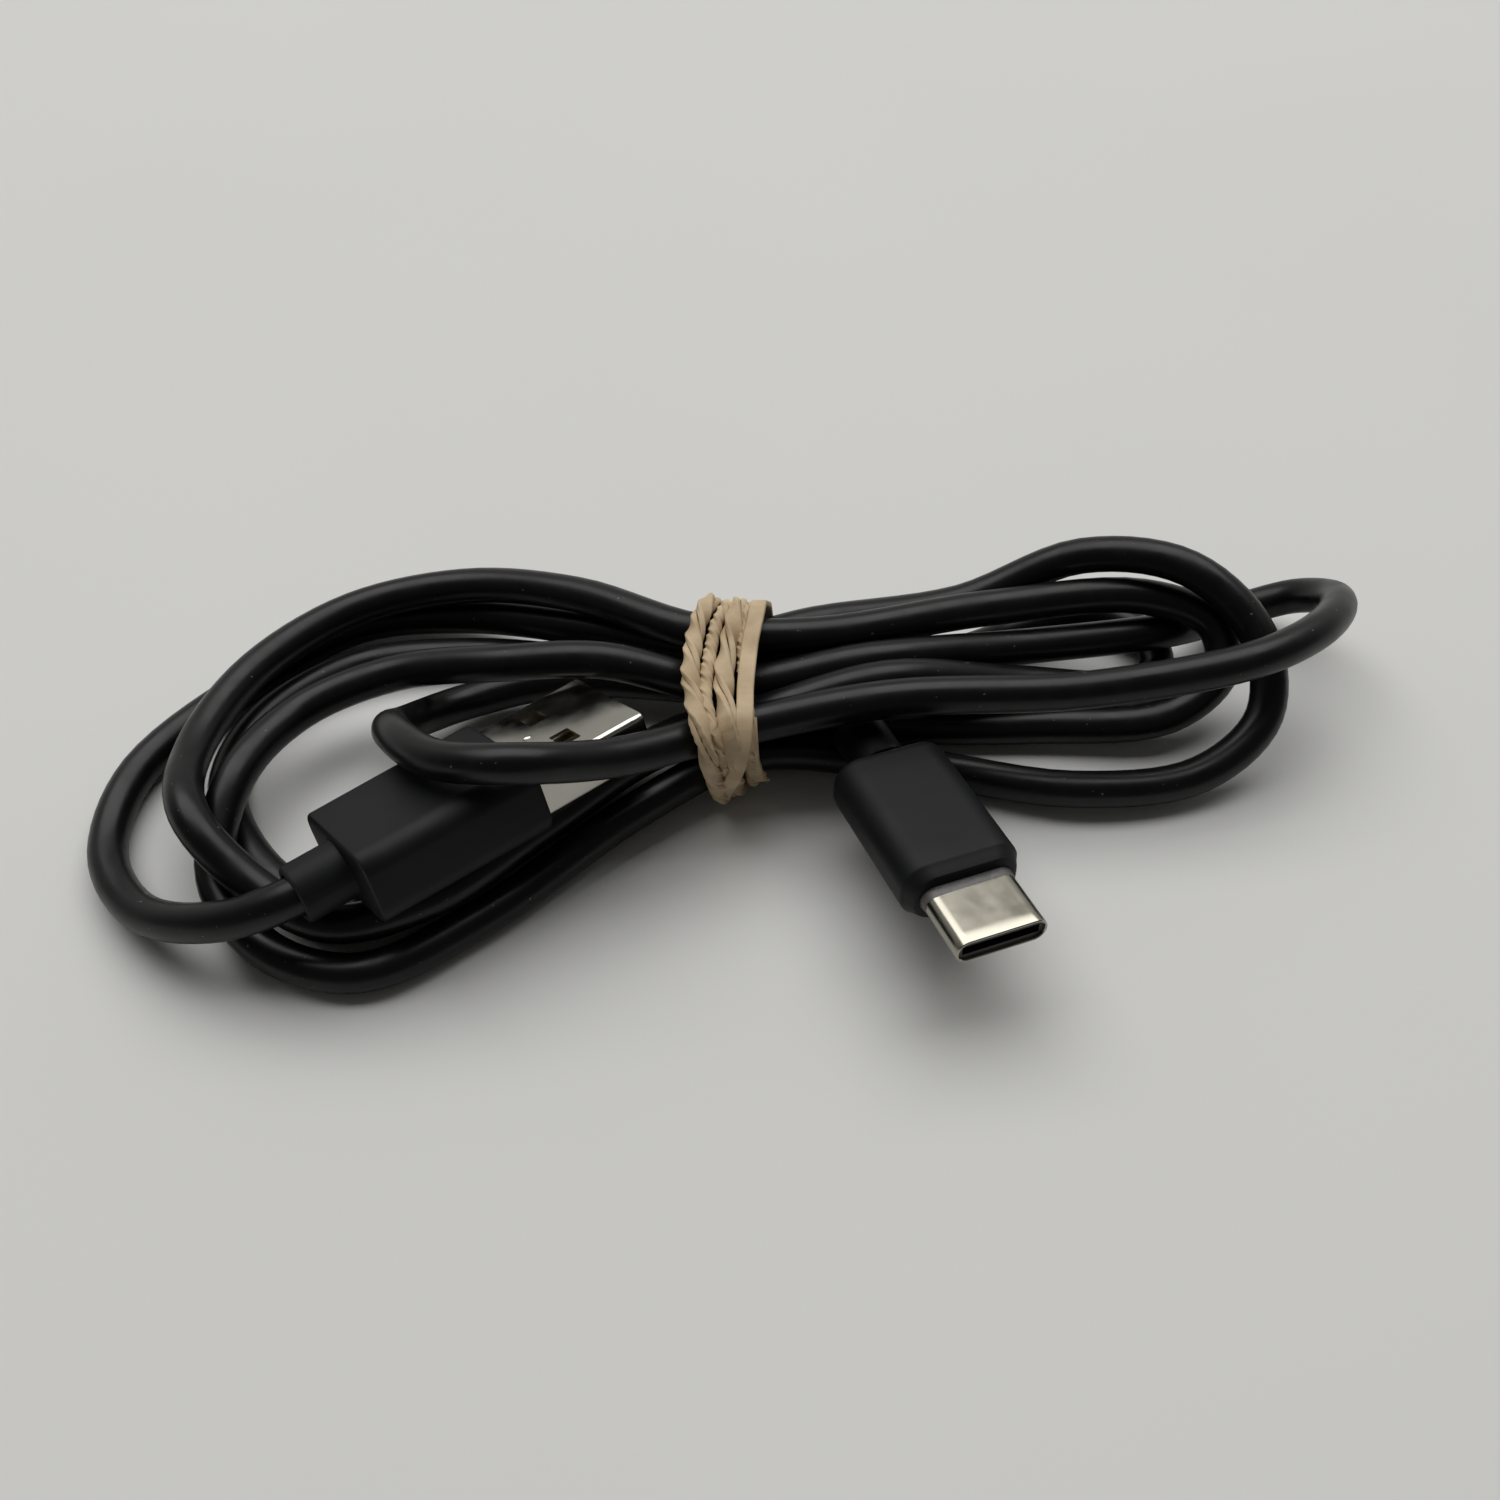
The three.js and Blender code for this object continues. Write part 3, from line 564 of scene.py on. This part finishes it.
def makeUsbAMould():
    s = usbASettings
    rear = -s["exposed"] - s["mouldLength"]
    mouth = mouthOf(s)
    front = -s["exposed"]
    w, h = s["mouldHalf"]
    corner = s["mouldCorner"]
    bore = cordSettings["diameter"] / mm / 2 + 0.06
    relief = s["reliefRadius"]

    def body(x, inset):
        along = (x - (rear + front) / 2) / (s["mouldLength"] / 2)
        return (x, w * (1 + s["taper"] * along) - inset, h - inset, corner - inset * 0.4)

    rings = [roundRing(mouth + 6.6, bore), roundRing(mouth + 0.5, bore), roundRing(mouth + 0.08, bore + 0.06),
             roundRing(mouth, bore + 0.16), roundRing(mouth, relief - 0.3), roundRing(mouth + 0.1,
                                                                                      relief - 0.1),
             roundRing(mouth + 0.32, relief), roundRing(rear - 0.35, relief + 0.02),
             roundRing(rear - 0.1, relief + 0.09), roundRing(rear, relief + 0.3)]
    rings += [body(rear, 0.42), body(rear + 0.05, 0.2), body(rear + 0.16, 0.06), body(rear + 0.34, 0.0)]
    rings += [body(rear + 0.34 + (s["mouldLength"] - 0.9) * k / 8, 0.0) for k in range(1, 9)]
    rings += [body(front - 0.3, 0.04), body(front - 0.1, 0.16), body(front, 0.42)]
    sw, sh = s["shellHalf"]
    rings += [(front, sw + 0.16, sh + 0.16, 0.8), (front - 0.12, sw + 0.04, sh + 0.04, 0.66),
              (front - s["shellHidden"] - 0.3, sw + 0.04, sh + 0.04, 0.66)]
    verts, faces = loft(s, rings)
    return makeObject("usbAMoulding", verts, faces, finishes["moulding"], "hank",
                      ["usb_a_overmould"], 32)


def makeUsbCMould():
    s = usbCSettings
    rear = -s["exposed"] - s["mouldLength"]
    mouth = mouthOf(s)
    front = -s["exposed"]
    w, h = s["mouldHalf"]
    corner = s["mouldCorner"]
    bore = cordSettings["diameter"] / mm / 2 + 0.1
    relief = s["reliefRadius"]

    def body(x, inset):
        return (x, w - inset, h - inset * 0.8, corner - inset * 0.5)

    rings = [roundRing(mouth + 3.4, bore + 0.3), roundRing(mouth + 0.4, bore),
             roundRing(mouth + 0.05, bore + 0.05),
             roundRing(mouth, bore + 0.15), roundRing(mouth, relief - 0.32), roundRing(mouth + 0.1,
                                                                                       relief - 0.12),
             roundRing(mouth + 0.35, relief - 0.02), roundRing(rear - 0.8, relief),
             roundRing(rear - 0.3, relief + 0.06), (rear - 0.05, relief + 0.35, relief + 0.1, relief)]
    rings += [body(rear, 1.0), body(rear + 0.12, 0.55), body(rear + 0.38, 0.22), body(rear + 0.7, 0.06),
              body(rear + 1.1, 0.0)]
    rings += [body(rear + 1.1 + (s["mouldLength"] - 2.5) * k / 6, 0.0) for k in range(1, 7)]
    rings += [body(front - 1.25, 0.03), body(front - 1.12, 0.12), body(front - 0.75, 0.34),
              body(front - 0.35, 0.52), body(front - 0.1, 0.68), body(front, 0.9)]
    sw, sh = s["shellHalf"]
    rings += [(front, sw + 0.2, sh + 0.2, 1.38), (front - 0.15, sw + 0.05, sh + 0.05, 1.24),
              (front - s["shellHidden"] - 0.3, sw + 0.05, sh + 0.05, 1.24)]
    verts, faces = loft(s, rings)
    return makeObject("usbCMoulding", verts, faces, finishes["moulding"], "usb_c_plug",
                      ["usb_c_overmould", "usb_c_cable_tail"], 28)


def shellRings(s, lip):
    w, h = s["shellHalf"]
    r = s["shellCorner"]
    wall = s["shellWall"]
    rear = -s["exposed"] - s["shellHidden"]
    iw, ih, ir = w - wall, h - wall, max(r - wall, 0.25)
    return [(rear, w, h, r), (-1.2, w, h, r), (-lip * 1.6, w, h, r),
            (-lip * 0.5, w - lip * 0.25, h - lip * 0.25, r), (0, w - lip, h - lip, r - lip * 0.5),
            (0, iw + lip * 0.5, ih + lip * 0.5, ir + lip * 0.3),
            (-lip * 0.6, iw + 0.01, ih + 0.01, ir), (-lip * 3, iw, ih, ir), (rear, iw, ih, ir)]


def cutWith(piece, cutters):
    for cutter in cutters:
        bpy.context.collection.objects.link(cutter)
        cut = piece.modifiers.new("cut", "BOOLEAN")
        cut.operation = "DIFFERENCE"
        cut.solver = "EXACT"
        cut.object = cutter
    graph = bpy.context.evaluated_depsgraph_get()
    mesh = bpy.data.meshes.new_from_object(piece.evaluated_get(graph))
    piece.modifiers.clear()
    piece.data = mesh
    for cutter in cutters:
        bpy.data.objects.remove(cutter)


def cutterBox(plug, low, high, bevel):
    work = bmesh.new()
    bmesh.ops.create_cube(work, size=1)
    for v in work.verts:
        v.co = Vector([low[i] + (v.co[i] + 0.5) * (high[i] - low[i]) for i in range(3)])
    upright = [e for e in work.edges if abs(e.verts[0].co.z - e.verts[1].co.z) > 0.01]
    bmesh.ops.bevel(work, geom=upright, offset=bevel, segments=4, affect="EDGES", profile=0.5)
    bmesh.ops.transform(work, matrix=plugMatrix(plug), verts=work.verts)
    mesh = bpy.data.meshes.new("cutter")
    work.to_mesh(mesh)
    work.free()
    return bpy.data.objects.new("cutter", mesh)


def cutterDrop(plug, centre, radii):
    work = bmesh.new()
    bmesh.ops.create_uvsphere(work, u_segments=24, v_segments=12, radius=1)
    for v in work.verts:
        v.co = Vector([centre[i] + v.co[i] * radii[i] for i in range(3)])
    bmesh.ops.transform(work, matrix=plugMatrix(plug), verts=work.verts)
    mesh = bpy.data.meshes.new("cutter")
    work.to_mesh(mesh)
    work.free()
    return bpy.data.objects.new("cutter", mesh)


def makeUsbAShell():
    s = usbASettings
    verts, faces = loft(s, shellRings(s, 0.1), loop=True)
    shell = makeObject("usbAShell", verts, faces, finishes["nickelA"], "hank", ["usb_a_shell"], 32)
    length, width = s["windowSize"]
    h = s["shellHalf"][1]
    cutters = []
    for side in (-1, 1):
        y = side * s["windowOffset"]
        x = -s["windowSetback"]
        low, high = (x - length / 2, y - width / 2, -h - 1), (x + length / 2, y + width / 2, h + 1)
        cutters.append(cutterBox(s, low, high, 0.14))
    cutters.append(cutterDrop(s, (-8.5, 0, h + 0.12), (0.55, 0.5, 0.28)))
    cutters.append(cutterBox(s, (-s["exposed"] - 5, -0.04, -h - 1), (-0.3, 0.04, -h + 0.22), 0.005))
    cutWith(shell, cutters)
    finishObject(shell, finishes["nickelA"], "hank", [], 32)
    return shell


def makeUsbCShell():
    s = usbCSettings
    verts, faces = loft(s, shellRings(s, 0.11), loop=True, perCorner=18)
    return makeObject("usbCShell", verts, faces, finishes["nickelC"], "usb_c_plug",
                      ["usb_c_shell"], 32)


# A thin uneven collar of glue that squeezed out where the shell leaves the moulding.
def makeGlueFlash():
    s = usbCSettings
    front = -s["exposed"]
    w, h = s["shellHalf"]
    draw = random.Random(4)
    matrix = plugMatrix(s)
    rows = [(front - 0.25, 0.03), (front - 0.02, 0.16), (front + 0.3, 0.10), (front + 0.62, 0.05),
            (front + 0.85, 0.02), (front + 0.85, 0.004), (front - 0.25, 0.004)]
    perCorner = 16
    count = perCorner * 4
    edge = [0.0] * count
    for wave in range(2, 13):
        amount, phase = draw.uniform(0.2, 1) / wave ** 0.6, draw.uniform(0, 6.3)
        for k in range(count):
            edge[k] += amount * math.sin(wave * 2 * math.pi * k / count + phase)
    verts, faces = [], []
    for row, (x, grow) in enumerate(rows):
        reach = 1.0 if x > front + 0.2 else 0.0
        for k, (y, z) in enumerate(outline(w + grow, h + grow, s["shellCorner"] + grow, perCorner)):
            verts.append(matrix @ Vector((x + reach * 0.14 * edge[k], y, z)))
    for i in range(len(rows)):
        j = (i + 1) % len(rows)
        for k in range(count):
            n = (k + 1) % count
            faces.append((i * count + k, i * count + n, j * count + n, j * count + k))
    return makeObject("usbCGlue", verts, faces, finishes["glue"], "usb_c_plug", [], 40)


usbAMould = makeUsbAMould()
usbCMould = makeUsbCMould()
usbAShell = makeUsbAShell()
usbCShell = makeUsbCShell()
usbCGlue = makeGlueFlash()
print("plugs made")

# ---------- rubber band ----------


def hullOf(points):
    points = sorted(points)

    def chain(ordered):
        kept = []
        for p in ordered:
            while len(kept) > 1:
                (ox, oy), (ax, ay) = kept[-2], kept[-1]
                if (ax - ox) * (p[1] - oy) - (ay - oy) * (p[0] - ox) > 1e-14:
                    break
                kept.pop()
            kept.append(p)
        return kept[:-1]

    return chain(points) + chain(points[::-1])


# The loop that wraps the cords where they cross one place along X, as points on evenly turned rays.
def waistLoop(x):
    s = bandSettings
    corners = []
    for p in cordLine:
        if abs(p.x - x) < s["slab"]:
            for k in range(32):
                turn = math.pi * k / 16
                r = cordSettings["diameter"] / 2 + s["gap"] * mm
                corners.append((p.y + r * math.cos(turn), p.z + r * math.sin(turn)))
    hull = [Vector((x, y, z)) for y, z in hullOf(corners)]
    centre = Vector((x, *s["centre"]))
    places = []
    for k in range(s["steps"]):
        ray = Vector((0, math.cos(2 * math.pi * k / s["steps"]), math.sin(2 * math.pi * k / s["steps"])))
        for a, b in zip(hull, hull[1:] + hull[:1]):
            edge = b - a
            det = ray.y * edge.z - ray.z * edge.y
            if abs(det) < 1e-12:
                continue
            off = a - centre
            t = (off.y * edge.z - off.z * edge.y) / det
            u = (off.y * ray.z - off.z * ray.y) / det
            if t > 0 and -1e-6 <= u <= 1 + 1e-6:
                places.append(centre + ray * t)
                break
    for _ in range(6):  # the stretched band rounds the corners a little, always outwards
        smoothed = [(places[i - 1] + places[(i + 1) % len(places)]) / 2 for i in range(len(places))]
        places = [p if (p - centre).length > (q - centre).length else q for p, q in zip(places, smoothed)]
    return places


# A point on the waist's skin and its outward direction, between the loops on either side of it.
def onWaist(loops, angle, x):
    stations = bandSettings["stations"]
    slot = max(i for i, s in enumerate(stations[:-1]) if s <= x or i == 0)
    part = (x - stations[slot]) / (stations[slot + 1] - stations[slot])
    count = bandSettings["steps"]

    def skin(k):
        return loops[slot][k % count].lerp(loops[slot + 1][k % count], part)

    place = angle / 360 * count
    low = math.floor(place)
    point = skin(low).lerp(skin(low + 1), place - low)
    along = skin(low + 3) - skin(low - 2)
    return point, Vector((0, along.z, -along.y)).normalized()


# A value that changes smoothly with the angle, round the whole turn and back to its start.
def wave(knots, angle, item):
    knots = [(k[0], k[item]) for k in knots]
    ext = [(knots[-2][0] - 360, knots[-2][1]), (knots[-1][0] - 360, knots[-1][1]), *knots,
           (knots[0][0] + 360, knots[0][1]), (knots[1][0] + 360, knots[1][1])]
    for (a0, v0), (a1, v1), (a2, v2), (a3, v3) in zip(ext, ext[1:], ext[2:], ext[3:]):
        if a1 <= angle <= a2:
            t = (angle - a1) / (a2 - a1)
            m1 = (v2 - v0) / (a2 - a0) * (a2 - a1)
            m2 = (v3 - v1) / (a3 - a1) * (a2 - a1)
            return ((2 * t**3 - 3 * t**2 + 1) * v1 + (t**3 - 2 * t**2 + t) * m1
                    + (3 * t**2 - 2 * t**3) * v2 + (t**3 - t**2) * m2)
    return knots[0][1]


def bandTree():
    tree = bpy.data.node_groups.new("twistedStrand", "GeometryNodeTree")
    face = tree.interface
    face.new_socket("Geometry", in_out="INPUT", socket_type="NodeSocketGeometry")
    for name in ("Width", "Thickness", "Turns"):
        face.new_socket(name, in_out="INPUT", socket_type="NodeSocketFloat")
    face.new_socket("Material", in_out="INPUT", socket_type="NodeSocketMaterial")
    face.new_socket("Geometry", in_out="OUTPUT", socket_type="NodeSocketGeometry")
    new, link = tree.nodes.new, tree.links.new
    given, result = new("NodeGroupInput"), new("NodeGroupOutput")
    curve = new("GeometryNodeMeshToCurve")
    link(given.outputs["Geometry"], curve.inputs["Mesh"])
    outward = new("GeometryNodeInputNamedAttribute")
    outward.data_type = "FLOAT_VECTOR"
    outward.inputs["Name"].default_value = "outward"
    lay = new("GeometryNodeSetCurveNormal")
    lay.mode = "FREE"
    link(curve.outputs["Curve"], lay.inputs["Curve"])
    link(outward.outputs["Attribute"], lay.inputs["Normal"])
    along = new("GeometryNodeSplineParameter")
    turn = new("ShaderNodeMath")
    turn.operation = "MULTIPLY"
    link(along.outputs["Factor"], turn.inputs[0])
    link(given.outputs["Turns"], turn.inputs[1])
    angle = new("ShaderNodeMath")
    angle.operation = "MULTIPLY"
    angle.inputs[1].default_value = 2 * math.pi
    link(turn.outputs["Value"], angle.inputs[0])
    tilt = new("GeometryNodeSetCurveTilt")
    link(lay.outputs["Curve"], tilt.inputs["Curve"])
    link(angle.outputs["Value"], tilt.inputs["Tilt"])
    section = new("GeometryNodeCurvePrimitiveQuadrilateral")
    link(given.outputs["Thickness"], section.inputs["Width"])
    link(given.outputs["Width"], section.inputs["Height"])
    fillet = new("GeometryNodeFilletCurve")
    fillet.mode = "POLY"
    fillet.inputs["Count"].default_value = 4
    radius = new("ShaderNodeMath")
    radius.operation = "MULTIPLY"
    radius.inputs[1].default_value = 0.3
    link(given.outputs["Thickness"], radius.inputs[0])
    link(radius.outputs["Value"], fillet.inputs["Radius"])
    link(section.outputs["Curve"], fillet.inputs["Curve"])
    sweep = new("GeometryNodeCurveToMesh")
    sweep.inputs["Fill Caps"].default_value = True
    link(tilt.outputs["Curve"], sweep.inputs["Curve"])
    link(fillet.outputs["Curve"], sweep.inputs["Profile Curve"])
    real = new("GeometryNodeRealizeInstances")
    paint = new("GeometryNodeSetMaterial")
    link(sweep.outputs["Mesh"], real.inputs["Geometry"])
    link(real.outputs["Geometry"], paint.inputs["Geometry"])
    link(given.outputs["Material"], paint.inputs["Material"])
    link(paint.outputs["Geometry"], result.inputs["Geometry"])
    return tree


def strandMesh(name, tree, settings, ply, closed, loops):
    plies, turns, width, thickness, radius, phase, knots = settings
    first, last = (0, 360) if closed else (knots[0][0], knots[-1][0])
    steps = 900 if turns > 9 else 480  # a tighter twist needs more of them
    if not closed:
        steps = 70
    verts, normals = [], []
    travelled = [0.0]  # the twist is even along the strand, not along the angle
    for i in range(steps):
        here, _ = onWaist(loops, 360 * i / steps, wave(knots, 360 * i / steps, 1))
        ahead, _ = onWaist(loops, 360 * (i + 1) / steps, wave(knots, 360 * ((i + 1) % steps) / steps, 1))
        travelled.append(travelled[-1] + (ahead - here).length)
    for i in range(steps if closed else steps + 1):
        angle = first + (last - first) * i / steps
        if closed:
            x, height = wave(knots, angle, 1), wave(knots, angle, 2)
        else:
            t = (angle - first) / (last - first) * (len(knots) - 1)
            k = min(int(t), len(knots) - 2)
            x = knots[k][1] + (knots[k + 1][1] - knots[k][1]) * (t - k)
            height = knots[k][2] + (knots[k + 1][2] - knots[k][2]) * (t - k)
        skin, out = onWaist(loops, angle, x)
        centre = skin + out * (thickness / 2 + radius * 0.4 + max(height, 0)) * mm
        if plies > 1:
            turn = 2 * math.pi * (round(turns) * travelled[i] / travelled[-1] + phase + ply / plies)
            aside = Vector((1, 0, 0)) * math.sin(turn) + out * math.cos(turn)
            centre = centre + aside * radius * mm
            out = aside
        verts.append(centre)
        normals.append(out)
    edges = [(i, i + 1) for i in range(len(verts) - 1)]
    if closed:
        edges.append((len(verts) - 1, 0))
    mesh = bpy.data.meshes.new(name + "Line")
    mesh.from_pydata([tuple(v) for v in verts], edges, [])
    attribute = mesh.attributes.new("outward", "FLOAT_VECTOR", "POINT")
    for i, out in enumerate(normals):
        attribute.data[i].vector = out
    holder = bpy.data.objects.new(name + "Line", mesh)
    bpy.context.collection.objects.link(holder)
    nodes = holder.modifiers.new("strand", "NODES")
    nodes.node_group = tree
    values = {"Width": width * mm, "Thickness": thickness * mm, "Turns": 0.0, "Material": finishes["band"]}
    for item in tree.interface.items_tree:
        if item.in_out == "INPUT" and item.name in values:
            nodes[item.identifier] = values[item.name]
    graph = bpy.context.evaluated_depsgraph_get()
    made = bpy.data.meshes.new_from_object(holder.evaluated_get(graph))
    bpy.data.objects.remove(holder)
    return made


def makeBand():
    s = bandSettings
    loops = [waistLoop(x * mm) for x in s["stations"]]
    tree = bandTree()
    work = bmesh.new()
    for name, settings in s["strands"].items():
        for ply in range(settings[0]):
            work.from_mesh(strandMesh(name, tree, settings, ply, True, loops))
    tail = strandMesh("tail", tree, s["tail"], 0, False, loops)
    draw = random.Random(11)
    endZ = min(v.co.z for v in tail.vertices)
    for v in tail.vertices:
        near = max(0.0, 1 - (v.co.z - endZ) / 0.002)
        v.co.x += near * (0.0005 + draw.uniform(-0.0003, 0.0003))
        v.co.y += near * draw.uniform(-0.00015, 0.0001)
        v.co.z += near * near * draw.uniform(-0.0001, 0.0005)
    work.from_mesh(tail)
    bmesh.ops.remove_doubles(work, verts=work.verts, dist=1e-7)
    for v in work.verts:
        v.co.z = max(v.co.z, s["floor"])
    mesh = bpy.data.meshes.new("rubberBand")
    work.to_mesh(mesh)
    work.free()
    band = bpy.data.objects.new("rubberBand", mesh)
    bpy.context.collection.objects.link(band)
    finishObject(band, finishes["band"], "band", ["rubber_band"], 50)
    return band


rubberBand = makeBand()
print("band made:", len(rubberBand.data.polygons), "faces")

# ---------- finishes of the pieces that stay as the model has them ----------

nodeFinishes = [
    ("usb_a_contact_", "gold"), ("usb_c_contact_", "gold"), ("usb_a_tongue", "whitePlastic"),
    ("usb_c_housing", "darkPlastic"), ("usb_c_resistor", "darkPlastic"), ("usb_c_board", "board"),
    ("_inner_mould", "clearPlastic"), ("_crimp", "nickelA"), ("usb_c_latch", "nickelC"),
    ("rear_sleeve", "nickelC"),
    ("wire_red", "wireRed"), ("wire_white", "wireWhite"), ("wire_green", "wireGreen"), ("wire_black",
                                                                                        "wireBlack"),
    ("usb_a_shell", "nickelA"), ("usb_c_shell", "nickelC"), ("overmould", "moulding"), ("cable", "jacket"),
    ("rubber_band", "band"),
]
for name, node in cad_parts.items():
    finish = next(f for part, f in nodeFinishes if part in name)
    node.data.materials.clear()
    node.data.materials.append(finishes[finish])
